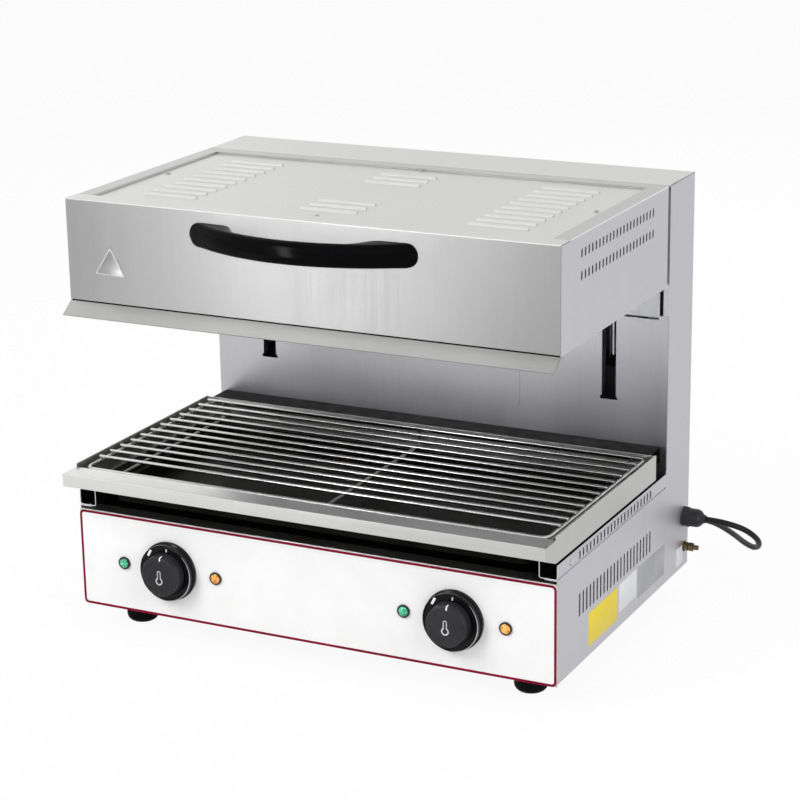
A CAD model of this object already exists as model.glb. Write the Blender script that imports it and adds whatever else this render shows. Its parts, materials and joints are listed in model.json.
import json
import math
from contextlib import contextmanager

import bmesh
import bpy
from mathutils import Matrix, Vector

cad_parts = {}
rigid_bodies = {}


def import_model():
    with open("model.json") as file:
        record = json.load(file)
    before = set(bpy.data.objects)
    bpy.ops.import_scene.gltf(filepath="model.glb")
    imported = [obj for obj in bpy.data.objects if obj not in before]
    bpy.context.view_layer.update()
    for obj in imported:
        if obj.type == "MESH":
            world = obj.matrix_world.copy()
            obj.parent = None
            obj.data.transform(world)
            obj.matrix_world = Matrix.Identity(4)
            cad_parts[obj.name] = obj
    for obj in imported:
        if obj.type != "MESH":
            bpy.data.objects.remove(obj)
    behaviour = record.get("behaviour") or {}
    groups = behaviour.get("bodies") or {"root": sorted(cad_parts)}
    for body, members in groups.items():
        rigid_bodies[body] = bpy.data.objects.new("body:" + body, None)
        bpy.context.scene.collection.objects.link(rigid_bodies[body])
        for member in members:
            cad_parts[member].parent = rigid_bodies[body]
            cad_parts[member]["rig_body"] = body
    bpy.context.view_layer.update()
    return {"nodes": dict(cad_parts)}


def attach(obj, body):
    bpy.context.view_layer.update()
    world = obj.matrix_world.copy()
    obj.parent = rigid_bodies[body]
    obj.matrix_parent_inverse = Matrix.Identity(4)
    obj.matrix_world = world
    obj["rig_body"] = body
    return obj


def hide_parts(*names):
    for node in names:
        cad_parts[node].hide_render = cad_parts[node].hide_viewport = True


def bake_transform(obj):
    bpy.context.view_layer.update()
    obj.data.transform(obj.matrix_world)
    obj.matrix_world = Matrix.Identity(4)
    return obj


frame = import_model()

bl_info = {
    "name": "Lift-up cheese melter",
    "version": (1, 0, 0),
    "blender": (4, 5, 0),
    "location": "3D View > Sidebar > Melter",
    "description": "Dresses the cheese melter with folded sheet, printed panel, cord and studio",
    "category": "Object",
}

# The drawing's origin in the row frame: mid-plane, column's front, worktop. Sizes are in mm.
MM = 0.001
ORIGIN = Vector((-0.009, 0.1425, 0.0))

HALF_W = 300.0
FLOOR_Z = 32.0
PANEL_Z = 145.0
PANEL_Y = -327.0
HOOD_Y = -320.0
HOOD_Z = 394.6
TOP_Z = 512.0
COVER_Z = 509.0
CONTROL_Z = 88.0
KNOB_X = 180.0
BEZEL_Y = PANEL_Y - 11.0
KNOB_BACK_Y = BEZEL_Y + 0.9
KNOB_LEN = 14.0
FORWARD = (0, -1, 0)
PRINT = 0.00012


def at(x, y, z):
    """A point of the drawing, in mm, as a point of the row frame, in metres."""
    return Vector((x, y, z)) * MM + ORIGIN


# ---- modelling helpers


def select_only(piece):
    for other in bpy.context.view_layer.objects:
        other.select_set(False)
    piece.select_set(True)
    bpy.context.view_layer.objects.active = piece


@contextmanager
def editing(piece, mode="FACE"):
    """Edit mode on one piece, with nothing selected to start with."""
    select_only(piece)
    bpy.ops.object.mode_set(mode="EDIT")
    bpy.ops.mesh.select_mode(type=mode)
    bpy.ops.mesh.select_all(action="DESELECT")
    yield bmesh.from_edit_mesh(piece.data)
    bpy.ops.object.mode_set(mode="OBJECT")


def linked(name, data):
    """A new object in the scene's collection."""
    piece = bpy.data.objects.new(name, data)
    bpy.context.scene.collection.objects.link(piece)
    return piece


def select_all():
    bpy.ops.mesh.select_all(action="SELECT")


def apply_modifier(piece, kind, **values):
    select_only(piece)
    modifier = piece.modifiers.new(kind.title(), kind)
    for name, value in values.items():
        setattr(modifier, name, value)
    bpy.ops.object.modifier_apply(modifier=modifier.name)


def named(piece, name):
    piece.name = name
    piece.data.name = name
    return piece


def finished(piece, body, finish, smooth=30.0, flat_faces=False):
    """Puts a piece's place into its mesh, shades it, and hands it to its body."""
    select_only(piece)
    bpy.ops.object.transform_apply(location=True, rotation=True, scale=True)
    bpy.ops.object.shade_smooth_by_angle(angle=math.radians(smooth))
    if flat_faces:
        apply_modifier(
            piece, "WEIGHTED_NORMAL", keep_sharp=True, weight=100, use_face_influence=True
        )
    piece.data.materials.clear()
    piece.data.materials.append(FINISH[finish])
    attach(piece, body)
    return piece


def paint(piece, finish, test):
    """Gives the faces that pass the test another finish."""
    piece.data.materials.append(FINISH[finish])
    index = len(piece.data.materials) - 1
    for face in piece.data.polygons:
        if test(face):
            face.material_index = index


def mesh_piece(name, build, outwards=True):
    """A piece whose mesh is made by build(bm)."""
    mesh = bpy.data.meshes.new(name)
    bm = bmesh.new()
    build(bm)
    if outwards:
        bmesh.ops.recalc_face_normals(bm, faces=bm.faces)
    bm.to_mesh(mesh)
    bm.free()
    return linked(name, mesh)


def outline_piece(name, points):
    """A flat face with the given outline, in metres in the row frame."""
    return mesh_piece(name, lambda bm: bm.faces.new([bm.verts.new(p) for p in points]), False)


def thickened(piece, thickness, along):
    """Extrudes a flat piece by thickness, in metres, towards the unit vector along."""
    with editing(piece) as bm:
        select_all()
        bpy.ops.mesh.extrude_region_move(
            TRANSFORM_OT_translate={"value": Vector(along) * thickness}
        )
        select_all()
        bpy.ops.mesh.normals_make_consistent(inside=False)
    return piece


def joined(pieces, name):
    """One piece made of several."""
    select_only(pieces[0])
    for piece in pieces[1:]:
        piece.select_set(True)
    bpy.ops.object.join()
    return named(bpy.context.view_layer.objects.active, name)


def turned(name, profile, place, steps=64):
    """A profile of radius and reach to the front, in mm, turned about an axis along Y."""

    def build(bm):
        line = [bm.verts.new((r * MM, -reach * MM, 0.0)) for r, reach in profile]
        edges = [bm.edges.new(pair) for pair in zip(line, line[1:])]
        bmesh.ops.spin(
            bm, geom=line + edges, cent=(0, 0, 0), axis=(0, 1, 0), angle=2 * math.pi,
            steps=steps, use_merge=True,
        )
        bmesh.ops.remove_doubles(bm, verts=bm.verts, dist=0.000001)

    piece = mesh_piece(name, build)
    piece.location = place
    return piece


def bridge(bm, one, two, closed=True):
    """Faces between two rows of as many vertices."""
    for k in range(len(one) if closed else len(one) - 1):
        n = (k + 1) % len(one)
        bm.faces.new((one[k], one[n], two[n], two[k]))


def band_piece(name, one, two, closed=True):
    """A flat ring or strip between two rows of as many points, in the row frame."""

    def build(bm):
        bridge(bm, [bm.verts.new(p) for p in one], [bm.verts.new(p) for p in two], closed)

    return mesh_piece(name, build)


def arc(centre, radius, start, end, steps):
    """Points of an arc in 2-D, with its angles in degrees."""
    turns = [math.radians(start + (end - start) * k / steps) for k in range(steps + 1)]
    return [
        (centre[0] + radius * math.cos(turn), centre[1] + radius * math.sin(turn))
        for turn in turns
    ]


def round_corners(corners, radius, steps=5):
    """The points of a 2-D outline whose corners are rounded."""
    out = []
    count = len(corners)
    for i in range(count):
        here = Vector(corners[i])
        before = (Vector(corners[i - 1]) - here).normalized()
        after = (Vector(corners[(i + 1) % count]) - here).normalized()
        half = before.angle(after) / 2
        reach = radius / math.tan(half)
        centre = here + (before + after).normalized() * (radius / math.sin(half))
        start = here + before * reach - centre
        end = here + after * reach - centre
        for k in range(steps + 1):
            spoke = start.lerp(end, k / steps).normalized() * radius
            out.append(centre + spoke)
    return out


def rectangle(x, y):
    return [(x[0], y[0]), (x[1], y[0]), (x[1], y[1]), (x[0], y[1])]


# ---- material helpers


class Tree:
    """A short way to write down a node tree."""

    def __init__(self, block):
        """Clears the node tree of a material or world, or takes a node group as it is."""
        self.column = 0
        self.tree = block
        if not isinstance(block, bpy.types.NodeTree):
            block.use_nodes = True
            block.node_tree.nodes.clear()
            self.tree = block.node_tree

    def add(self, kind, *values, **inputs):
        """A node; values go to its first sockets, inputs to its settings and named sockets."""
        node = self.tree.nodes.new("ShaderNode" + kind)
        node.location = (self.column, 0)
        self.column += 200
        for index, value in enumerate(values):
            self.feed(node, index, value)
        for name, value in inputs.items():
            if hasattr(node, name):
                setattr(node, name, value)
            else:
                self.feed(node, name.replace("_", " "), value)
        return node

    def feed(self, node, key, value):
        if isinstance(value, bpy.types.NodeSocket):
            self.tree.links.new(value, node.inputs[key])
        else:
            node.inputs[key].default_value = value

    def first(self, kind, *values, **inputs):
        """The first output of a new node."""
        return self.add(kind, *values, **inputs).outputs[0]

    def math(self, operation, a, b=0.0):
        return self.first("Math", a, b, operation=operation)

    def spread(self, value, low, high, start=0.0, end=1.0):
        """Maps start..end of value to low..high."""
        return self.first("MapRange", value, start, end, low, high)

    def mix(self, factor, a, b, kind="RGBA"):
        """Mixes two colours or two numbers."""
        node = self.add("Mix", factor, data_type=kind)
        socket, output = (6, 2) if kind == "RGBA" else (2, 0)
        self.feed(node, socket, a)
        self.feed(node, socket + 1, b)
        return node.outputs[output]

    def group(self, name, **inputs):
        return self.add("Group", node_tree=GROUPS[name], **inputs).outputs


def new_group(name, outputs, **inputs):
    """A node group with a vector and the given inputs; its outputs are numbers."""
    group = bpy.data.node_groups.new(name, "ShaderNodeTree")
    for label, default in {"Vector": (0.0, 0.0, 0.0), **inputs}.items():
        kind = "NodeSocketFloat" if isinstance(default, float) else "NodeSocketVector"
        socket = group.interface.new_socket(label, in_out="INPUT", socket_type=kind)
        socket.default_value = default
    for label in outputs:
        group.interface.new_socket(label, in_out="OUTPUT", socket_type="NodeSocketFloat")
    given = group.nodes.new("NodeGroupInput").outputs
    return group, Tree(group), given, group.nodes.new("NodeGroupOutput")


def brushed_grain_group():
    """Fine lines drawn out along one axis, with broad faint bands under them."""
    group, tree, given, out = new_group(
        "Brushed grain", ("Tone", "Height"), Stretch=(700.0, 700.0, 9.0), Bands=0.25
    )
    drawn = tree.first("VectorMath", given["Vector"], given["Stretch"], operation="MULTIPLY")
    lines = tree.first("TexNoise", Vector=drawn, Scale=1.0, Detail=3.0, Roughness=0.65)
    wide = tree.first("VectorMath", drawn, operation="SCALE", Scale=0.06)
    bands = tree.first("TexNoise", Vector=wide, Scale=1.0, Detail=1.0)
    fine = tree.spread(lines, 0.0, 1.0, 0.25, 0.75)
    broad = tree.spread(bands, 0.0, 1.0, 0.3, 0.7)
    tree.feed(out, "Tone", tree.mix(given["Bands"], fine, broad, "FLOAT"))
    tree.feed(out, "Height", fine)
    return group


def handling_group():
    """Broad soft patches, as wiping and handling leave them."""
    group, tree, given, out = new_group("Handling marks", ("Mask",), Scale=7.0)
    cloud = tree.first(
        "TexNoise", Vector=given["Vector"], Scale=given["Scale"], Detail=4.0, Roughness=0.55
    )
    tree.feed(out, "Mask", tree.spread(cloud, 0.0, 1.0, 0.38, 0.66))
    return group


def moulded_grain_group():
    """The fine pebble of moulded plastic, rubber or paint."""
    group, tree, given, out = new_group("Moulded grain", ("Height", "Mask"), Scale=1500.0)
    vector, scale = given["Vector"], given["Scale"]
    cells = tree.add("TexVoronoi", feature="SMOOTH_F1", Vector=vector, Scale=scale)
    tree.feed(out, "Height", cells.outputs["Distance"])
    broad = tree.math("MULTIPLY", scale, 0.04)
    tree.feed(out, "Mask", tree.first("TexNoise", Vector=vector, Scale=broad, Detail=3.0))
    return group


GROUPS = {}
FINISH = {}


def start_material(name, **constants):
    """A material with a Principled shader, the piece's own coordinates and these constants."""
    material = bpy.data.materials.new(name)
    tree = Tree(material)
    place = tree.add("TexCoord").outputs["Object"]
    shader = tree.add("BsdfPrincipled", **constants)
    tree.add("OutputMaterial", shader.outputs[0])
    return material, tree, place, shader


def bump(tree, shader, height, strength, distance):
    normal = tree.first("Bump", Strength=strength, Distance=distance, Height=height)
    tree.feed(shader, "Normal", normal)


def rgba(colour):
    """A colour with its alpha; a number stands for a grey."""
    return (*((colour,) * 3 if isinstance(colour, float) else colour), 1.0)


def sheet_metal(name, tones, rough, stretch, bands=0.25, marks=0.05, lift=0.1):
    """Brushed sheet: its tone and roughness follow the brush lines and the wiped patches."""
    material, tree, place, shader = start_material(name, Metallic=1.0)
    grain = tree.group("grain", Vector=place, Stretch=stretch, Bands=bands)
    wiped = tree.group("handling", Vector=place)["Mask"]
    tree.feed(shader, "Base Color", tree.mix(grain["Tone"], rgba(tones[0]), rgba(tones[1])))
    base = tree.spread(grain["Tone"], *rough)
    tree.feed(shader, "Roughness", tree.math("ADD", base, tree.math("MULTIPLY", wiped, marks)))
    bump(tree, shader, grain["Height"], lift, 0.0001)
    return material


def moulded(name, dark, light, rough, scale=1500.0, shine=0.5, lift=0.1, metallic=0.0):
    """Plastic, rubber, paint or cast metal with a fine pebble and slightly uneven gloss."""
    material, tree, place, shader = start_material(
        name, Metallic=metallic, Specular_IOR_Level=shine
    )
    grain = tree.group("moulded", Vector=place, Scale=scale)
    wiped = tree.group("handling", Vector=place, Scale=25.0)["Mask"]
    tree.feed(shader, "Base Color", tree.mix(wiped, rgba(dark), rgba(light)))
    tree.feed(shader, "Roughness", tree.spread(grain["Mask"], *rough, 0.3, 0.7))
    bump(tree, shader, grain["Height"], lift, 0.00005)
    return material


def lens_material(name, deep, bright):
    """Coloured lens with moulded facets that catch the light."""
    material, tree, place, shader = start_material(name, Emission_Strength=0.25, Coat_Weight=1.0)
    facets = tree.add("TexVoronoi", Scale=420.0, Vector=place).outputs["Distance"]
    colour = tree.mix(tree.spread(facets, 1.0, 0.0, 0.1, 0.75), rgba(deep), rgba(bright))
    tree.feed(shader, "Base Color", colour)
    tree.feed(shader, "Emission Color", colour)
    tree.feed(shader, "Roughness", tree.spread(facets, 0.12, 0.3))
    bump(tree, shader, facets, 0.5, 0.0004)
    return material


def cord_material(name):
    """Smooth black sheath, slightly uneven along its length."""
    material, tree, place, shader = start_material(name, Specular_IOR_Level=0.25)
    grain = tree.group("moulded", Vector=place, Scale=900.0)
    colour = tree.mix(grain["Mask"], rgba((0.006, 0.006, 0.007)), rgba((0.012, 0.012, 0.013)))
    tree.feed(shader, "Base Color", colour)
    tree.feed(shader, "Roughness", tree.spread(grain["Mask"], 0.34, 0.5, 0.3, 0.7))
    bump(tree, shader, grain["Height"], 0.15, 0.0001)
    return material


# finish: (name, darkest and lightest colour, roughness, other settings of moulded())
CAST = {"metallic": 1.0}
MOULDED = {
    "brass": ("Brass", (0.55, 0.42, 0.18), (0.66, 0.53, 0.27), (0.22, 0.42), CAST),
    "dark_brass": ("Tarnished brass", (0.16, 0.12, 0.06), (0.26, 0.2, 0.1), (0.3, 0.5), CAST),
    "enamel": (
        "Black enamel", (0.007, 0.007, 0.006), (0.013, 0.013, 0.010), (0.16, 0.36),
        {"scale": 500.0, "shine": 0.015},
    ),
    "dark": ("Dark coating", 0.004, 0.008, (0.45, 0.6), {"shine": 0.08}),
    "gloss": (
        "Gloss black plastic", (0.0008, 0.0008, 0.0012), (0.0015, 0.0015, 0.002), (0.14, 0.2),
        {"shine": 0.06, "lift": 0.02},
    ),
    "satin": (
        "Satin black plastic", (0.017, 0.017, 0.020), (0.027, 0.027, 0.031), (0.26, 0.36),
        {"shine": 0.3, "lift": 0.12},
    ),
    "bezel": (
        "Smooth black plastic", (0.003, 0.003, 0.004), (0.006, 0.006, 0.007), (0.16, 0.24),
        {"shine": 0.22, "lift": 0.04},
    ),
    "rubber": (
        "Black rubber", 0.004, 0.009, (0.4, 0.6), {"scale": 900.0, "shine": 0.05, "lift": 0.25}
    ),
    "lamp_rim": ("Dark lamp rim", (0.012, 0.006, 0.006), (0.022, 0.012, 0.012), (0.25, 0.35)),
    "print_white": ("White print", 0.86, 0.95, (0.4, 0.55), {"scale": 2500.0}),
    "grey_print": (
        "Grey print", (0.50, 0.50, 0.52), (0.60, 0.60, 0.62), (0.4, 0.55), {"scale": 2500.0}
    ),
    "overlay": (
        "White overlay", (0.87, 0.87, 0.865), 0.9, (0.3, 0.42), {"scale": 1800.0, "lift": 0.06}
    ),
    "crimson": (
        "Crimson print", (0.19, 0.001, 0.022), (0.25, 0.002, 0.032), (0.3, 0.42),
        {"scale": 1800.0, "shine": 0.1, "lift": 0.06},
    ),
    "yellow": ("Yellow vinyl", (0.86, 0.66, 0.02), (0.92, 0.72, 0.04), (0.3, 0.42)),
    "vinyl": ("White vinyl", (0.76, 0.77, 0.79), (0.84, 0.85, 0.87), (0.3, 0.42)),
    "foil": (
        "Silver foil", (0.50, 0.51, 0.53), (0.60, 0.61, 0.63), (0.28, 0.4), {"metallic": 0.7}
    ),
    "nylon": ("Nylon", (0.74, 0.74, 0.70), (0.82, 0.82, 0.78), (0.4, 0.55)),
    "fibre": (
        "Fibre board", (0.66, 0.63, 0.55), (0.78, 0.75, 0.68), (0.8, 0.95),
        {"scale": 300.0, "lift": 0.6},
    ),
    "iron": ("Cast iron", 0.05, 0.09, (0.5, 0.7), {"scale": 400.0, "lift": 0.5, **CAST}),
    "element": (
        "Element sheath", (0.10, 0.09, 0.08), (0.17, 0.15, 0.13), (0.35, 0.55),
        {"scale": 700.0, **CAST},
    ),
}

# How far the brush lines are drawn out along Z, X and Y
UPRIGHT = (650.0, 650.0, 7.0)
ACROSS = (7.0, 650.0, 650.0)
FORE = (650.0, 7.0, 650.0)


def make_finishes():
    GROUPS["grain"] = brushed_grain_group()
    GROUPS["handling"] = handling_group()
    GROUPS["moulded"] = moulded_grain_group()
    steel = bpy.context.scene.melter_steel
    strong, soft = steel.grain, steel.grain * 0.6
    rough = steel.roughness

    def tinted(colour, share, grain):
        """The darkest and lightest tone of a sheet with a share of the colour."""
        return [tuple(c * factor for c in colour) for factor in (share - grain, share + grain)]

    bright = ((0.62, 0.62, 0.61), (0.76, 0.76, 0.75))
    for finish, *values in (
        (
            "front", "Front steel", tinted(steel.front, 1, strong), (rough - 0.04, rough + 0.06),
            UPRIGHT,
        ),
        ("side", "Side steel", tinted(steel.side, 1, soft), (0.4, 0.5), UPRIGHT),
        ("top", "Top steel", tinted(steel.top, 1, soft), (0.42, 0.52), FORE),
        (
            "wall", "Wall steel", tinted(steel.side, 0.74, strong), (0.26, 0.38), UPRIGHT,
            0.25, 0.05, 0.015,
        ),
        ("flange", "Flange steel", tinted(steel.top, 0.82, strong), (0.4, 0.5), FORE),
        ("fold", "Fold steel", (0.90, 0.98), (0.35, 0.45), UPRIGHT),
        ("tray", "Tray steel", tinted(steel.tray, 1, strong), (0.26, 0.38), ACROSS),
        ("lip", "Lip steel", tinted(steel.tray, 0.52, strong), (0.26, 0.38), ACROSS),
        ("inner", "Inner steel", ((0.30, 0.30, 0.29), (0.36, 0.36, 0.35)), (0.35, 0.5), UPRIGHT),
        ("zinc", "Zinc plate", ((0.50, 0.52, 0.54), (0.62, 0.64, 0.66)), (0.25, 0.38), UPRIGHT),
        ("bright", "Bright wire", bright, (0.12, 0.22), (60.0, 400.0, 400.0), 0.5, 0.08, 0.05),
        ("screw", "Screw steel", ((0.45, 0.45, 0.44), (0.6, 0.6, 0.59)), (0.2, 0.35), (900.0,) * 3),
    ):
        FINISH[finish] = sheet_metal(*values)
    for finish, (name, dark, light, gloss, *more) in MOULDED.items():
        FINISH[finish] = moulded(name, dark, light, gloss, **(more[0] if more else {}))
    FINISH["green"] = lens_material("Green lens", (0.0, 0.20, 0.085), (0.10, 0.72, 0.40))
    FINISH["orange"] = lens_material("Orange lens", (0.55, 0.16, 0.0), (1.0, 0.62, 0.16))
    FINISH["cord"] = cord_material("Cord sheath")


# ---- properties


def number(name, description, default, low, high, **more):
    return bpy.props.FloatProperty(
        name=name, description=description, default=default, min=low, max=high, **more
    )


def metres(name, description, default, low, high):
    return number(name, description, default, low, high, unit="LENGTH", precision=4)


def angle(name, description, degrees):
    return number(name, description, math.radians(degrees), -math.pi, math.pi, subtype="ANGLE")


def colour(name, description, default):
    return bpy.props.FloatVectorProperty(
        name=name, description=description, default=default, subtype="COLOR", min=0.0, max=1.0
    )


class MelterSteel(bpy.types.PropertyGroup):
    front: colour("Front", "Colour of the hood's front", (0.38, 0.38, 0.38))
    side: colour("Sides", "Colour of the hood's and column's sides", (0.80, 0.79, 0.83))
    top: colour("Top", "Colour of the louvred cover", (0.80, 0.80, 0.79))
    tray: colour("Tray", "Colour of the tray's frame", (0.77, 0.77, 0.75))
    roughness: number("Roughness", "Roughness of the hood's front", 0.34, 0.1, 0.8)
    grain: number(
        "Grain", "Share by which the brush lines lighten and darken the sheet", 0.035, 0.0, 0.2,
        subtype="FACTOR",
    )
    fold_radius: metres("Fold radius", "Outside radius of a folded edge", 0.001, 0.0002, 0.002)
    edge: metres("Broken edge", "Width by which a cut edge is broken", 0.0003, 0.0001, 0.0006)


class MelterCord(bpy.types.PropertyGroup):
    diameter: metres("Diameter", "Diameter of the mains cord", 0.007, 0.005, 0.009)
    sides: bpy.props.IntProperty(
        name="Sides", description="Number of faces round the cord", default=20, min=8, max=32
    )


class MelterHandle(bpy.types.PropertyGroup):
    length: metres("Length", "Length of the handle", 0.278, 0.2, 0.34)
    bow: metres("Bow", "How far the handle bows out from the hood", 0.045, 0.038, 0.05)
    height: metres("Height", "Height of the handle's section", 0.026, 0.02, 0.03)
    thickness: metres("Thickness", "Thickness of the handle's section", 0.014, 0.01, 0.018)
    foot: metres("Foot", "Length of each foot", 0.057, 0.036, 0.06)
    height_on_hood: metres(
        "Height on the hood", "Height of the axis over the hood's lower edge", 0.091, 0.07, 0.096
    )


class MelterControls(bpy.types.PropertyGroup):
    knob_diameter: metres("Knob", "Diameter of a knob at its back", 0.05, 0.042, 0.052)
    bezel_diameter: metres("Bezel", "Diameter of a knob's bezel", 0.07, 0.064, 0.072)
    border_inset: metres(
        "Border inset", "Distance of the printed border from the overlay's edge", 0.0001, 0.0, 0.003
    )
    border_width: metres("Border width", "Width of the printed border", 0.003, 0.001, 0.004)
    panel_below: metres(
        "Panel below", "How far the panel hangs below the base's sides", 0.0025, 0.0, 0.004
    )
    panel_above: metres(
        "Panel above", "How far the panel's flange stands over the deck", 0.002, 0.002, 0.003
    )


class MelterStudio(bpy.types.PropertyGroup):
    azimuth: angle("Azimuth", "Camera's angle to the right of the front", 26.718)
    elevation: angle("Elevation", "Camera's angle above the horizon", 16.986)
    roll: angle("Roll", "Camera's turn about its line of sight", -0.946)
    distance: metres("Distance", "Camera's distance from its target", 2.7448, 0.5, 10.0)
    target: bpy.props.FloatVectorProperty(
        name="Target", description="Point that the camera looks at", subtype="TRANSLATION",
        default=(0.020455, -0.0075, 0.26819), unit="LENGTH", precision=5,
    )
    lens: number("Lens", "Focal length in mm on a 36 mm sensor", 107.46, 20.0, 300.0)
    floor: colour("Floor", "Colour of the floor", (0.9, 0.9, 0.9))
    card: number(
        "Front card", "Brightness of the card that the hood's front mirrors", 11.0, 0.0, 20.0
    )
    ambient: number("Ambient", "Strength of the light from all round", 0.62, 0.0, 2.0)
    mirrored: number(
        "Floor in reflections", "Brightness of the floor as the steel shows it", 0.6, 0.0, 2.0
    )
    key_power: number(
        "Key light", "Power of the large soft light over the front, in watts", 60.0, 0.0, 500.0
    )


# ---- sheet metal and CAD nodes

# node: finish and folds; a fold is a line along one axis through two given coordinates, and the
# finish of its bend
SHEETS = {
    "hood_front": ["front", ("x", HOOD_Y, TOP_Z, "fold")],
    "hood_side_left": ["side", ("y", -HALF_W, TOP_Z, "fold")],
    "hood_side_right": ["side", ("y", HALF_W, TOP_Z, "fold")],
    "hood_lip": ["lip"],
    "hood_top": ["top"],
    "hood_rear": ["side"],
    "column_side_left": ["side"],
    "column_side_right": ["side"],
    "top_cap": [
        "top", ("x", 0.0, TOP_Z, "fold"), ("y", HALF_W, TOP_Z, "inner"),
        ("y", -HALF_W, TOP_Z, "inner"),
    ],
    "cavity_wall": ["wall"],
    "upper_wall": ["wall"],
    "rear_cover": ["side"],
    "rear_deck": ["dark"],
    "side_panel_left": ["side"],
    "side_panel_right": ["side"],
    "tray_rail_left": ["side"],
    "tray_rail_right": ["side"],
    "base_pan": ["inner"],
    "base_deck": ["dark"],
    "control_panel": ["tray"],
    "tray_frame": ["tray", ("x", -357.0, 198.0, "fold"), ("y", HALF_W, 202.0, "tray")],
    "drip_pan": ["enamel"],
    "carriage_left": ["zinc"],
    "carriage_right": ["zinc"],
}

# flat walls with rows of slots
PIERCED = {
    "hood_side_left", "hood_side_right", "column_side_left", "column_side_right",
    "side_panel_left", "side_panel_right", "rear_cover",
}

# finish: the CAD nodes that keep their shape and take it
PLAIN = {
    "inner": ("thermostats", "element_supports"),
    "nylon": ("terminal_block", "slide_blocks", "pulley_left", "pulley_right"),
    "zinc": (
        "top_beam", "bottom_beam", "pulley_axles", "cable_wraps", "knob_shaft_left",
        "knob_shaft_right",
    ),
    "bright": ("guide_rods", "grid_frame", "grid_wires"),
    "tray": ("reflector",),
    "fibre": ("insulation",),
    "element": ("heating_elements",),
    "iron": ("counterweight",),
    "rubber": ("feet",),
    "green": ("green_lenses",),
    "orange": ("orange_lenses",),
}


def merged_copy(node, name):
    """A copy of a CAD node as one clean mesh, which stands for the node."""
    piece = linked(name, frame["nodes"][node].data.copy())
    piece.data.materials.clear()
    select_only(piece)
    if piece.data.has_custom_normals:
        bpy.ops.mesh.customdata_custom_splitnormals_clear()
    with editing(piece, "VERT"):
        select_all()
        bpy.ops.mesh.remove_doubles(threshold=0.00001)
    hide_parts(node)
    return piece


def merge_flat_faces(piece):
    """Joins the faces that lie in one plane, so that a flat wall is shaded as one."""
    with editing(piece, "EDGE"):
        select_all()
        bpy.ops.mesh.dissolve_limited(angle_limit=math.radians(0.05))


def lengthened(piece, below, above, out=0.0):
    """Moves a front plate's lower, upper and side edges outwards; its holes stay."""
    reach = 7.0 * MM
    for vertex in piece.data.vertices:
        co = vertex.co
        if co.z < FLOOR_Z * MM + reach:
            co.z -= below
        elif co.z > PANEL_Z * MM - reach:
            co.z += above
        if abs(co.x - ORIGIN.x) > HALF_W * MM - reach:
            co.x += math.copysign(out, co.x - ORIGIN.x)


def break_edges(piece, width, segments=2, angle=25.0):
    apply_modifier(
        piece, "BEVEL", width=width, segments=segments, limit_method="ANGLE",
        angle_limit=math.radians(angle), use_clamp_overlap=False, miter_outer="MITER_ARC",
        face_strength_mode="FSTR_ALL",
    )


def dressed(node, name, edge, segments, finish, flat_faces=True):
    """A fixed CAD node's copy with broken edges and its finish."""
    piece = merged_copy(node, name)
    break_edges(piece, edge, segments)
    return finished(piece, "base", finish, flat_faces=flat_faces)


def fold_line(fold):
    """A point on a fold's line, and the two axes that cross the line."""
    spot = list(fold[1:3])
    spot.insert("xyz".index(fold[0]), 0.0)
    return at(*spot), [i for i in range(3) if "xyz"[i] != fold[0]]


def round_fold(piece, fold, radius):
    """Rounds the folded edge that runs along one axis through two given coordinates."""
    spot, others = fold_line(fold)
    with editing(piece, "EDGE") as bm:
        for edge in bm.edges:
            if all(abs(v.co[i] - spot[i]) < 0.00005 for v in edge.verts for i in others):
                edge.select_set(True)
        bm.select_flush_mode()
        if any(edge.select for edge in bm.edges):
            bpy.ops.mesh.bevel(offset=radius, segments=4, clamp_overlap=False)


def faces_up(face):
    return face.normal.z > 0.7


def outward(face):
    """How far a face of a left or right piece looks away from the middle."""
    return face.normal.x * math.copysign(1.0, face.center.x)


def on_flange(face):
    """Whether a face of the hood's side belongs to its top flange or to the fold inside it."""
    return faces_up(face) or face.center.z > (TOP_Z - 4) * MM and outward(face) < -0.7


def in_crease(face):
    """Whether a face of the lip lies in the dark crease under the hood's front."""
    place = (face.center - ORIGIN) / MM
    return place.y > HOOD_Y - 0.2 and place.z > HOOD_Z - 0.5


def on_bend(face, fold, radius):
    """Whether a face belongs to the bend of a fold."""
    spot, others = fold_line(fold)
    return all(
        abs(face.normal[i]) > 0.1 and abs(face.center[i] - spot[i]) < radius * 1.05
        for i in others
    )


def inside_rail(face):
    """Whether a face of a tray rail looks into the rail's channel or the base."""
    outer = outward(face) > 0.2 and abs(face.center.x - ORIGIN.x) > (HALF_W - 4) * MM
    return not outer and face.normal.y > -0.5


PAINTED = {
    "hood_front": ("top", faces_up),
    "hood_side_left": ("flange", on_flange),
    "hood_side_right": ("flange", on_flange),
    "hood_lip": ("dark", in_crease),
    "tray_rail_left": ("dark", inside_rail),
    "tray_rail_right": ("dark", inside_rail),
}


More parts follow.
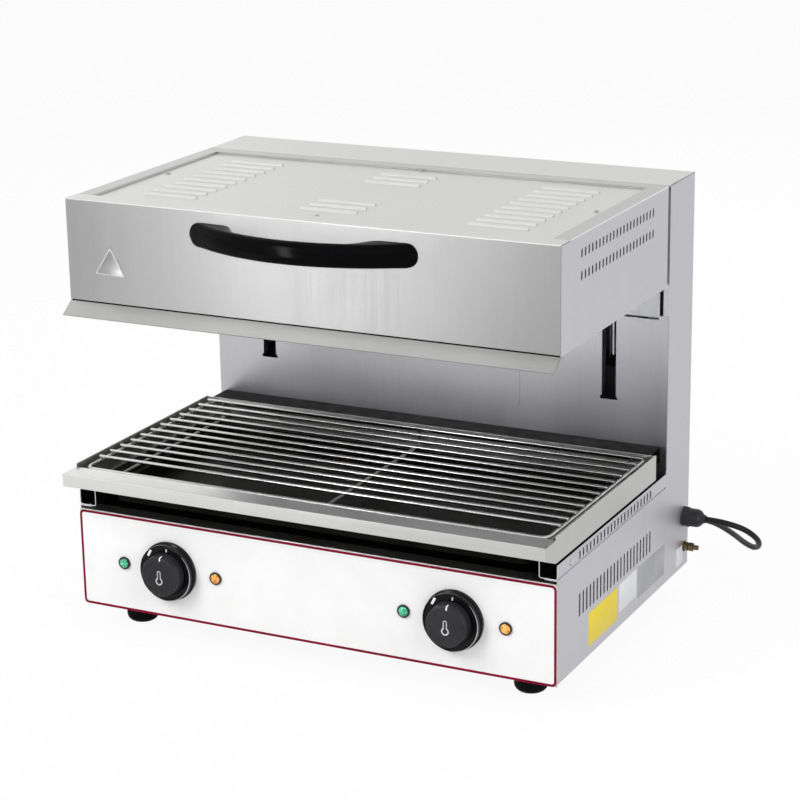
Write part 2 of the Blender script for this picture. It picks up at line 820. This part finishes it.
class MELTER_OT_sheets(bpy.types.Operator):
    """Rounds the folds and breaks the cut edges of the sheet metal pieces"""

    bl_idname = "melter.sheets"
    bl_label = "Sheet metal"

    def execute(self, context):
        steel = context.scene.melter_steel
        radius = steel.fold_radius
        for node, (finish, *folds) in SHEETS.items():
            piece = merged_copy(node, node + "_sheet")
            if node in PIERCED:
                merge_flat_faces(piece)
            if node == "control_panel":
                controls = context.scene.melter_controls
                lengthened(piece, controls.panel_below, controls.panel_above)
            for fold in folds:
                round_fold(piece, fold, radius)
            break_edges(piece, steel.edge)
            body = frame["nodes"][node]["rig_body"]
            finished(piece, body, finish, flat_faces=True)
            if node in PAINTED:
                other, test = PAINTED[node]
                paint(piece, other, test)
            for fold in folds:
                paint(piece, fold[3], lambda face: on_bend(face, fold, radius))
        self.rear_border()
        return {"FINISHED"}

    def rear_border(self):
        """The narrow flange behind the louvred cover, which closes the gap to the column."""
        wide, narrow = HALF_W - 0.5, HALF_W - 20.2
        front, step, back, fold = -22.0, -7.8, -1.2, -20.8
        outline = [
            (-narrow, front), (narrow, front), (narrow, step), (wide, step), (wide, back),
            (-wide, back), (-wide, step), (-narrow, step),
        ]
        flat = outline_piece("flange", [at(x, y, TOP_Z - 1.2) for x, y in outline])
        strip = rectangle((-narrow, narrow), (front, fold))
        upright = outline_piece("upright", [at(x, y, COVER_Z) for x, y in strip])
        thickened(flat, 1.2 * MM, (0, 0, 1))
        thickened(upright, 1.8 * MM, (0, 0, 1))
        border = joined([flat, upright], "hood_rear_border")
        break_edges(border, 0.0004)
        finished(border, "hood", "flange", flat_faces=True)


class MELTER_OT_frame_finishes(bpy.types.Operator):
    """Gives each CAD node that stays its finish"""

    bl_idname = "melter.frame_finishes"
    bl_label = "Frame finishes"

    def execute(self, context):
        for finish, nodes in PLAIN.items():
            for node in nodes:
                materials = frame["nodes"][node].data.materials
                materials.clear()
                materials.append(FINISH[finish])
        return {"FINISHED"}


class MELTER_OT_cables(bpy.types.Operator):
    """Hangs the lift cables from their pulleys, so that they lengthen as the hood moves"""

    bl_idname = "melter.cables"
    bl_label = "Lift cables"

    def execute(self, context):
        for node, body in (("front_cables", "hood"), ("rear_cables", "counterweight_body")):
            cables = merged_copy(node, node + "_drawn")
            select_only(cables)
            bpy.ops.object.shade_smooth_by_angle(angle=math.radians(40.0))
            cables.data.materials.append(FINISH["zinc"])
            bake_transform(cables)
        return {"FINISHED"}


# ---- handle


class MELTER_OT_handle(bpy.types.Operator):
    """Draws the bowed handle out of a cylinder and sets its feet on the hood"""

    bl_idname = "melter.handle"
    bl_label = "Handle"

    def execute(self, context):
        bpy.ops.mesh.primitive_cylinder_add(
            vertices=40, radius=1.0, depth=2.0, rotation=(0.0, math.pi / 2, 0.0)
        )
        grip = named(bpy.context.active_object, "handle_grip")
        bpy.ops.object.transform_apply(location=False, rotation=True, scale=False)
        even = 0.88  # the cuts are even up to this share of the half length, then close up
        cuts = [k / 18 * even for k in range(19)]
        cuts += [even + (1 - even) * math.sin(math.radians(k)) for k in range(12, 90, 11)]
        with editing(grip):
            for cut in cuts:
                for side in {cut, -cut}:
                    select_all()
                    bpy.ops.mesh.bisect(plane_co=(side, 0, 0), plane_no=(1, 0, 0))
        for vertex in grip.data.vertices:
            vertex.co = self.shaped(vertex.co, context.scene.melter_handle)
        with editing(grip):
            select_all()
            bpy.ops.mesh.normals_make_consistent(inside=False)
        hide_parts("handle")
        finished(grip, "hood", "gloss", smooth=40.0)
        grip.visible_glossy = False
        return {"FINISHED"}

    def shaped(self, point, settings):
        """Where a point of the round bar, with x from -1 to 1, goes on the handle."""
        half = settings.length / MM / 2
        bow = settings.bow / MM
        end_r = settings.height / MM / 2
        bar = settings.thickness / MM
        round_end, blend, grown, inner_end, tip = 4.0, 26.0, 1.2, 44.0, 0.9992
        roundness, foot_squareness = 2.5, 12.0
        outer_r = (half * half + bow * bow) / (2 * bow)
        inner_r = outer_r - bar
        centre_y = HOOD_Y - bow + outer_r
        x = max(-tip, min(tip, point.x)) * half
        beyond = max(0.0, abs(x) - (half - end_r))
        half_h = math.sqrt(end_r * end_r - beyond * beyond)
        front = centre_y - math.sqrt(outer_r * outer_r - x * x)
        nose = max(0.0, abs(x) - (half - round_end)) / round_end
        front += round_end * (1 - math.sqrt(max(0.0, 1 - nose * nose)))
        foot = (abs(x) - half + settings.foot / MM + blend / 2) / blend
        foot = min(1.0, max(0.0, foot))
        foot = foot * foot * (3 - 2 * foot)
        arc_back = centre_y - math.sqrt(inner_r**2 - min(abs(x), half - inner_end) ** 2)
        back = arc_back + (HOOD_Y - arc_back) * foot
        front = min(front, back - 0.5)
        middle = min(front + bar / 2, (front + back) / 2)
        turn = math.atan2(point.z, point.y)
        behind = math.cos(turn) > 0
        power = 2 / (roundness + foot_squareness * foot if behind else roundness)
        across = math.copysign(abs(math.cos(turn)) ** power, math.cos(turn))
        up = math.copysign(abs(math.sin(turn)) ** power, math.sin(turn))
        y = middle + across * (back - middle if behind else middle - front)
        half_h += grown * foot * max(0.0, math.cos(turn))
        return at(x, y, HOOD_Z + settings.height_on_hood / MM + up * half_h)


# ---- controls


def control_at(side, y=PANEL_Y):
    return at(side * KNOB_X, y, CONTROL_Z)


def thermometer(wide, ball, top):
    """The outline of a thermometer: a stem with a round top on a ball."""
    open_angle = math.degrees(math.acos(wide / ball))
    stem = arc((0.0, top), wide, 0, 180, 8)
    return stem + arc((0.0, -5.0), ball, 180 - open_angle, 360 + open_angle, 24)


def printed(name, points, side, y):
    """A thin printed shape on a face that looks to the front; points are about the knob."""
    flat = [control_at(side, y) + Vector((x, 0.0, z)) * MM for x, z in points]
    return thickened(outline_piece(name, flat), PRINT, FORWARD)


class MELTER_OT_knobs(bpy.types.Operator):
    """Turns the knobs and their bezels and prints their marks"""

    bl_idname = "melter.knobs"
    bl_label = "Knobs and bezels"

    def execute(self, context):
        settings = context.scene.melter_controls
        radius = settings.knob_diameter / MM / 2
        rings = []
        for side, label in ((-1, "left"), (1, "right")):
            body = "knob_" + label + "_body"
            rings.append(self.bezel(settings.bezel_diameter / MM / 2, side))
            place = control_at(side, KNOB_BACK_Y)
            knob = turned("knob_" + label + "_cap", self.knob_profile(radius), place)
            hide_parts("knob_" + label)
            finished(knob, body, "satin")
            marks = self.knob_marks(side, label, radius - 1.4)
            finished(marks, body, "print_white")
            symbol_z = (CONTROL_Z + 12) * MM
            paint(marks, "grey_print", lambda face: face.center.z < symbol_z)
            self.bezel_marks(side, label)
        bezels = joined(rings, "knob_bezel_rings")
        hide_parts("knob_bezels")
        finished(bezels, "base", "bezel")
        return {"FINISHED"}

    def knob_profile(self, radius):
        return [
            (0.0, 11.4), (3.1, 11.4), (3.1, 0.0), (radius - 0.4, 0.0), (radius, 0.4),
            *arc((radius - 3.0, KNOB_LEN - 1.6), 1.6, 4, 90, 6), (0.0, KNOB_LEN),
        ]

    def bezel(self, radius, side):
        ring = radius - 1.4
        profile = [
            (5.4, 0.0), (radius, 0.0), (radius, 2.6), (radius - 0.5, 3.4), (ring - 0.9, 4.2),
            (ring - 0.9, 5.6), (ring, 7.0), *arc((ring - 1.2, 9.9), 1.2, 0, 150, 10),
            (ring - 3.4, 10.4), (26.2, 9.9), (25.7, 9.5), (5.4, 9.5), (5.4, 0.0),
        ]
        return turned("bezel", profile, control_at(side))

    def knob_marks(self, side, label, front_r):
        """The thermometer on a knob's face and the mark that runs over its edge."""
        place = control_at(side, KNOB_BACK_Y - KNOB_LEN - 0.02)
        outlines = [
            [place + Vector((x, 0.0, z)) * MM for x, z in thermometer(wide, ball, 5.4)]
            for wide, ball in ((2.4, 4.6), (1.3, 3.0))
        ]
        symbol = thickened(band_piece("symbol", *outlines), PRINT, FORWARD)
        path = [
            (19.6, 0.0), (front_r - 1.5, 0.0), (front_r - 0.35, 0.55), (front_r + 0.1, 1.8),
            (front_r + 0.5, 5.0),
        ]
        rows = [[place + Vector((x, back, z)) * MM for z, back in path] for x in (1.1, 2.7)]
        mark = band_piece("mark", *rows, closed=False)
        apply_modifier(mark, "SOLIDIFY", thickness=PRINT, offset=1.0)
        return joined([symbol, mark], "knob_" + label + "_marks")

    def bezel_marks(self, side, label):
        y = BEZEL_Y - 0.02
        marks = joined(
            [
                printed(
                    "bar", [(-16.3, 25.6), (-20.6, 18.0), (-23.0, 19.4), (-18.9, 26.8)], side, y
                ),
                printed("tick", [(1.9, 26.6), (3.7, 26.6), (4.1, 30.4), (2.5, 30.4)], side, y),
                self.trim(side),
            ],
            "bezel_" + label + "_marks",
        )
        finished(marks, "base", "print_white")
        right_of_bar = control_at(side).x - 10 * MM
        paint(marks, "grey_print", lambda face: face.center.x > right_of_bar)

    def trim(self, side):
        """The pale line along the lower right of the bezel's front edge."""
        steps, radius, start, sweep, thin, swell = 28, 32.9, 45, 130, 0.12, 0.38
        inner, outer = [], []
        for k in range(steps + 1):
            turn = math.radians(start - sweep * k / steps)
            half = thin + swell * math.sin(math.pi * k / steps)
            for row, reach in ((inner, radius - half), (outer, radius + half)):
                row.append((math.cos(turn) * reach, math.sin(turn) * reach))
        return printed("trim", inner + outer[::-1], side, BEZEL_Y - 0.12)


def rounded_frame(x, z, radius):
    """A rounded rectangle on the overlay's plane."""
    corners = round_corners(rectangle((-x, x), z), radius, 6)
    return [at(p[0], PANEL_Y - 0.03, p[1]) for p in corners]


class MELTER_OT_panel(bpy.types.Operator):
    """Prints the border on the overlay and rounds the lamps' rims"""

    bl_idname = "melter.panel"
    bl_label = "Printed panel and lamps"

    def execute(self, context):
        settings = context.scene.melter_controls
        overlay = merged_copy("panel_overlay", "overlay_sheet")
        margin = 0.4 * MM
        below, above = settings.panel_below + margin, settings.panel_above - margin
        lengthened(overlay, below, above, margin)
        break_edges(overlay, 0.0001)
        finished(overlay, "base", "overlay", flat_faces=True)
        inset = settings.border_inset / MM
        low, high = FLOOR_Z + 0.5 - below / MM, PANEL_Z - 0.5 + above / MM
        frames = [
            rounded_frame(HALF_W - 0.1 - edge, (low + edge, high - edge), 6 - edge)
            for edge in (inset, inset + settings.border_width / MM)
        ]
        border = thickened(band_piece("overlay_border", *frames), 0.00005, FORWARD)
        finished(border, "base", "crimson")
        dressed("lamp_bodies", "lamp_rims", 0.0004, 3, "lamp_rim")
        return {"FINISHED"}


# ---- fasteners and bare plates


def screw(place, facing, turn, size=3.0):
    """A pan-head screw with a cross recess, facing along Y or Z."""
    profile = [(0.0, 0.0), (size, 0.0), (size, 0.35), (size * 0.82, 1.25), (size * 0.5, 1.6)]
    piece = turned("screw", profile + [(0.0, 1.7)], Vector(), 16)
    for tilt in (0.0, math.pi / 2):
        bpy.ops.mesh.primitive_cube_add(
            size=1.0, location=(0.0, -1.7 * MM, 0.0), rotation=(0.0, tilt, 0.0)
        )
        recess = bpy.context.active_object
        recess.scale = (size * 1.15 * MM, 1.6 * MM, 0.7 * MM)
        apply_modifier(piece, "BOOLEAN", operation="DIFFERENCE", object=recess, solver="EXACT")
        bpy.data.objects.remove(recess)
    aim = Vector(facing).to_track_quat("-Y", "Z")
    piece.rotation_mode = "QUATERNION"
    piece.rotation_quaternion = aim @ Matrix.Rotation(math.radians(turn), 3, "Y").to_quaternion()
    piece.location = place
    return piece


def plate(name, points, along, thickness, finish, body="base"):
    """A thin plate with broken edges on a face that looks along one axis."""
    piece = thickened(outline_piece(name, points), thickness * MM, along)
    break_edges(piece, min(0.0004, thickness * MM * 0.45), 2)
    return finished(piece, body, finish)


# plate: its reach along Y and Z on the right side, and its finish
SIDE_PLATES = {
    "side_plate_large": ((-238, -152.5), (43, 82), "yellow"),
    "side_plate_small": ((-147.5, -93), (49.5, 83), "vinyl"),
    "side_plate_silver": ((-88.5, -2), (45, 83), "foil"),
    "column_plate": ((39, 62.5), (38, 60), "vinyl"),
}


class MELTER_OT_fittings(bpy.types.Operator):
    """Adds the screws, the bare plates on the side and the bare triangle on the hood"""

    bl_idname = "melter.fittings"
    bl_label = "Screws and plates"

    def execute(self, context):
        cover = [(0, -283), (0, -25), (-270, -150), (270, -150)]
        screws = [
            screw(at(x, y, COVER_Z), (0, 0, 1), 35 * k + 10) for k, (x, y) in enumerate(cover)
        ]
        finished(joined(screws, "cover_screws"), "hood", "screw")
        rear = [(x, z) for x in (-291, 291) for z in (60, 270, 480)] + [(0, 40), (0, 504)]
        screws = [screw(at(x, 80.0, z), (0, 1, 0), 47 * k) for k, (x, z) in enumerate(rear)]
        finished(joined(screws, "rear_screws"), "base", "screw")
        for name, (y, z, finish) in SIDE_PLATES.items():
            outline = round_corners(rectangle(y, z), 1.2, 3)
            plate(name, [at(HALF_W, a, b) for a, b in outline], (1, 0, 0), 0.2, finish)
        self.triangle()
        dressed("earth_stud", "earth_stud_brass", 0.0003, 2, "dark_brass")
        return {"FINISHED"}

    def triangle(self):
        """The bare triangular plate on the hood's front, with a printed rim."""
        thick, inner_r = 0.5, 12.0
        corners = [Vector(corner) for corner in ((-266, 428), (-223.8, 426.5), (-243.7, 461))]
        centre = sum(corners, Vector((0.0, 0.0))) / 3
        outline = [at(p[0], HOOD_Y, p[1]) for p in round_corners(corners, 1.5, 3)]
        plate("hood_triangle", outline, FORWARD, thick, "front", "hood")
        rims = []
        for inset in (0.6, 2.0):
            inner = [centre + (corner - centre) * (1 - inset / inner_r) for corner in corners]
            rims.append([at(p[0], HOOD_Y - thick, p[1]) for p in round_corners(inner, 1.2, 3)])
        rim = thickened(band_piece("hood_triangle_rim", *rims), 0.0002, FORWARD)
        finished(rim, "hood", "grey_print")


# ---- the cord

# The cord's route behind the column, from the gland's tip to the coil
FREE_ROUTE = [
    (328, 64, 95.5), (337, 64, 95.3), (347, 64.8, 94.5), (356.5, 67, 92.5), (365, 70.5, 89.5),
    (372.5, 75.5, 85), (378, 82, 79), (381.5, 89.5, 72), (382.5, 98, 64.5), (380.5, 107, 57),
    (375.5, 117, 50), (367, 128, 44.5), (356, 141, 41.5), (343.5, 156, 39.5), (329, 174, 38),
    (312, 192, 37), (294.5, 210, 35), (277, 226, 32), (260, 238.5, 28), (244, 246.5, 23),
    (228, 250, 18), (212, 249, 13.5), (197, 244.5, 9.5), (183, 237.5, 6.5), (169, 229.5, 4.5),
    (154, 222, 3.8), (138, 216.5, 3.6), (122, 215, 3.6),
]
TAIL_ROUTE = [
    (122, 115, 11.1), (132, 115, 10.9), (143, 115.3, 10), (154, 116.3, 8.8), (165, 118.2, 8),
    (176, 121, 8.2), (187, 124.5, 9.4),
]
COIL_CENTRE = Vector((115, 165, 3.6))
COIL_TURNS = 4.5
COIL_PITCH = 7.6
COIL_LAYER = 7.5
COIL_R = 50.0


def smooth_route(points, steps):
    """A smooth curve through the points, with steps spans between one and the next."""
    p = [Vector(q) for q in points]
    out = []
    for i in range(len(p) - 1):
        a, b, c, d = p[max(i - 1, 0)], p[i], p[i + 1], p[min(i + 2, len(p) - 1)]
        bend, twist = 2 * a - 5 * b + 4 * c - d, 3 * b - a - 3 * c + d
        for t in (k / steps for k in range(steps)):
            out.append(0.5 * (2 * b + (c - a) * t + bend * t**2 + twist * t**3))
    return out + [p[-1]]


def coil_point(turn):
    """A point of the coil, which winds inwards, climbs a layer and winds out again."""
    half = COIL_TURNS / 2
    inwards = math.sqrt(half**2 + 0.01) - math.sqrt((turn - half) ** 2 + 0.01)
    radius = COIL_R - COIL_PITCH * inwards
    s = min(max(turn - half + 0.25, 0), 0.5) * 2
    angle = math.radians(90 + 360 * turn)
    height = COIL_LAYER * s * s * (3 - 2 * s)
    return COIL_CENTRE + Vector((radius * math.cos(angle), radius * math.sin(angle), height))


def cord_centreline():
    steps, least_span = 36, 0.8
    coil = [coil_point(i / steps) for i in range(int(COIL_TURNS * steps) + 1)]
    route = smooth_route(FREE_ROUTE, 4) + coil + smooth_route(TAIL_ROUTE, 4)
    kept = [route[0]]
    for point in route[1:]:
        if (point - kept[-1]).length > least_span:
            kept.append(point)
    return [at(*p) for p in kept]


def tube_along(name, points, radius, sides):
    """A round tube along the points, closed at both ends."""

    def build(bm):
        rings = []
        for before, p, after in zip(points[:1] + points, points, points[1:] + points[-1:]):
            ahead = (after - before).normalized()
            side = ahead.cross(Vector((0, 0, 1))).normalized()
            over = side.cross(ahead)
            ring = []
            for turn in (2 * math.pi * k / sides for k in range(sides)):
                spoke = math.cos(turn) * side + math.sin(turn) * over
                ring.append(bm.verts.new(p + radius * spoke))
            rings.append(ring)
        for one, two in zip(rings, rings[1:]):
            bridge(bm, one, two)
        bm.faces.new(rings[0][::-1])
        bm.faces.new(rings[-1])

    return mesh_piece(name, build)


class MELTER_OT_cord(bpy.types.Operator):
    """Lays the mains cord from the gland to its coil behind the column, with its plug"""

    bl_idname = "melter.cord"
    bl_label = "Mains cord"

    def execute(self, context):
        settings = context.scene.melter_cord
        gland = dressed("gland", "gland_body", 0.0005, 3, "satin", False)
        plug = dressed("plug", "plug_body", 0.0004, 2, "satin", False)
        points = cord_centreline()
        cord = tube_along("mains_cord", points, settings.diameter / 2, settings.sides)
        finished(cord, "base", "cord", smooth=50.0)
        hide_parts("cord_free", "cord_coil", "cord_tail")
        return {"FINISHED"}


# ---- studio


# card: its place, size, brightness and the point that it faces; None takes the set brightness
CARDS = {
    "front_card": ((-0.56, -1.3, 0.42), (0.13, 0.8), None, (0.0, 0.0, 0.3)),
    "floor_card": ((-0.8, -0.8, 0.01), (0.5, 0.4), 1.2, (-0.8, -0.8, 1.0)),
    "rim_card": ((1.7, -0.8, 0.3), (0.5, 0.7), 5.0, (0.0, 0.0, 0.3)),
    "top_card": ((-1.14, -0.2, 2.5), (0.36, 1.2), 2.7, (-0.1, -0.2, 0.5)),
    "rear_card": ((-1.65, 1.9, 1.1), (0.6, 0.5), 1.4, (-0.25, -0.2, 0.5)),
}

# light: its place and its share of the key light's power
LIGHTS = {
    "key": ((-1.4, -2.2, 2.3), 1.0),
    "fill": ((2.4, -1.2, 1.6), 0.45),
    "back": ((0.3, 2.2, 2.0), 0.35),
}
LIGHT_SIZE = 1.6


def light_panel(name, centre, size, strength, aim):
    """A soft panel that shows in reflections only."""
    bpy.ops.mesh.primitive_plane_add(size=1.0, location=centre)
    panel = named(bpy.context.active_object, name)
    panel.scale = (*size, 1.0)
    panel.rotation_mode = "QUATERNION"
    panel.rotation_quaternion = (Vector(aim) - Vector(centre)).to_track_quat("Z", "Y")
    material = bpy.data.materials.new(name)
    tree = Tree(material)
    tree.add("OutputMaterial", tree.first("Emission", Strength=strength))
    panel.data.materials.append(material)
    panel.visible_camera = False
    panel.visible_diffuse = False
    panel.visible_shadow = False


class MELTER_OT_studio(bpy.types.Operator):
    """Sets the floor, the soft lights, the background and the camera"""

    bl_idname = "melter.studio"
    bl_label = "Studio"

    def execute(self, context):
        settings = context.scene.melter_studio
        self.floor(settings)
        self.world(context, settings)
        self.lights(settings)
        self.camera(context, settings)
        context.scene.view_settings.view_transform = "Standard"
        return {"FINISHED"}

    def floor(self, settings):
        """A pale floor, nearly white to the camera and of a set brightness in the steel."""
        bpy.ops.mesh.primitive_plane_add(size=14.0, location=(0.0, 0.0, 0.0))
        floor = named(bpy.context.active_object, "floor")
        material = bpy.data.materials.new("Pale floor")
        tree = Tree(material)
        paper = tree.first("BsdfDiffuse", Color=rgba(settings.floor))
        white = tree.first("Emission", Strength=1.0)
        grey = tree.first("Emission", Strength=settings.mirrored)
        ray = tree.add("LightPath").outputs
        seen = tree.math("MULTIPLY", ray["Is Camera Ray"], 0.93)
        mirrored = tree.math("MULTIPLY", ray["Is Glossy Ray"], 0.85)
        shown = tree.first("MixShader", mirrored, tree.first("MixShader", seen, paper, white), grey)
        tree.add("OutputMaterial", shown)
        floor.data.materials.append(material)

    def world(self, context, settings):
        """Soft light from all round, which shows as white to the camera and in the steel."""
        world = bpy.data.worlds.new("Studio")
        context.scene.world = world
        tree = Tree(world)
        soft = tree.first("Background", Strength=settings.ambient)
        white = tree.first("Background", Strength=1.0)
        ray = tree.add("LightPath").outputs
        direct = tree.math("MAXIMUM", ray["Is Camera Ray"], ray["Is Glossy Ray"])
        shown = tree.math("MAXIMUM", direct, ray["Is Transmission Ray"])
        tree.add("OutputWorld", tree.first("MixShader", shown, soft, white))

    def lights(self, settings):
        for name, (place, share) in LIGHTS.items():
            data = bpy.data.lights.new(name, "AREA")
            data.shape = "SQUARE"
            data.size = LIGHT_SIZE
            data.energy = settings.key_power * share
            lamp = linked(name, data)
            lamp.location = place
            aim = Vector((0.0, 0.0, 0.25)) - Vector(place)
            lamp.rotation_euler = aim.to_track_quat("-Z", "Y").to_euler()
            lamp.visible_glossy = False
        for name, (centre, size, strength, aim) in CARDS.items():
            light_panel(name, centre, size, strength or settings.card, aim)

    def camera(self, context, settings):
        around, up = settings.azimuth, settings.elevation
        level = math.cos(up)
        back = Vector((math.sin(around) * level, -math.cos(around) * level, math.sin(up)))
        data = bpy.data.cameras.new("Camera")
        data.sensor_width = 36.0
        data.lens = settings.lens
        camera = linked("Camera", data)
        roll = Matrix.Rotation(settings.roll, 3, "Z")
        turn = (-back).to_track_quat("-Z", "Y").to_matrix() @ roll
        place = Matrix.Translation(Vector(settings.target) + back * settings.distance)
        camera.matrix_world = place @ turn.to_4x4()
        context.scene.camera = camera


# ---- panel and registration

OPERATORS = [
    MELTER_OT_sheets, MELTER_OT_frame_finishes, MELTER_OT_cables, MELTER_OT_handle,
    MELTER_OT_knobs, MELTER_OT_panel, MELTER_OT_fittings, MELTER_OT_cord, MELTER_OT_studio,
]
PROPERTIES = {
    "melter_steel": MelterSteel,
    "melter_handle": MelterHandle,
    "melter_controls": MelterControls,
    "melter_cord": MelterCord,
    "melter_studio": MelterStudio,
}


class MELTER_PT_sidebar(bpy.types.Panel):
    """Lists the steps that dress the melter"""

    bl_label = "Cheese melter"
    bl_idname = "MELTER_PT_sidebar"
    bl_space_type = "VIEW_3D"
    bl_region_type = "UI"
    bl_category = "Melter"

    def draw(self, context):
        layout = self.layout
        for name in PROPERTIES:
            box = layout.box()
            group = getattr(context.scene, name)
            for key in group.bl_rna.properties.keys():
                if key not in ("rna_type", "name"):
                    box.prop(group, key)
        for operator in OPERATORS:
            layout.operator(operator.bl_idname)


def register():
    for cls in (*PROPERTIES.values(), *OPERATORS, MELTER_PT_sidebar):
        bpy.utils.register_class(cls)
    for name, cls in PROPERTIES.items():
        setattr(bpy.types.Scene, name, bpy.props.PointerProperty(type=cls))


def unregister():
    for name in PROPERTIES:
        delattr(bpy.types.Scene, name)
    for cls in (MELTER_PT_sidebar, *reversed(OPERATORS), *PROPERTIES.values()):
        bpy.utils.unregister_class(cls)


def main():
    register()
    make_finishes()
    bpy.ops.melter.sheets()
    bpy.ops.melter.frame_finishes()
    bpy.ops.melter.cables()
    bpy.ops.melter.handle()
    bpy.ops.melter.knobs()
    bpy.ops.melter.panel()
    bpy.ops.melter.fittings()
    bpy.ops.melter.cord()
    bpy.ops.melter.studio()


if __name__ == "__main__":
    main()
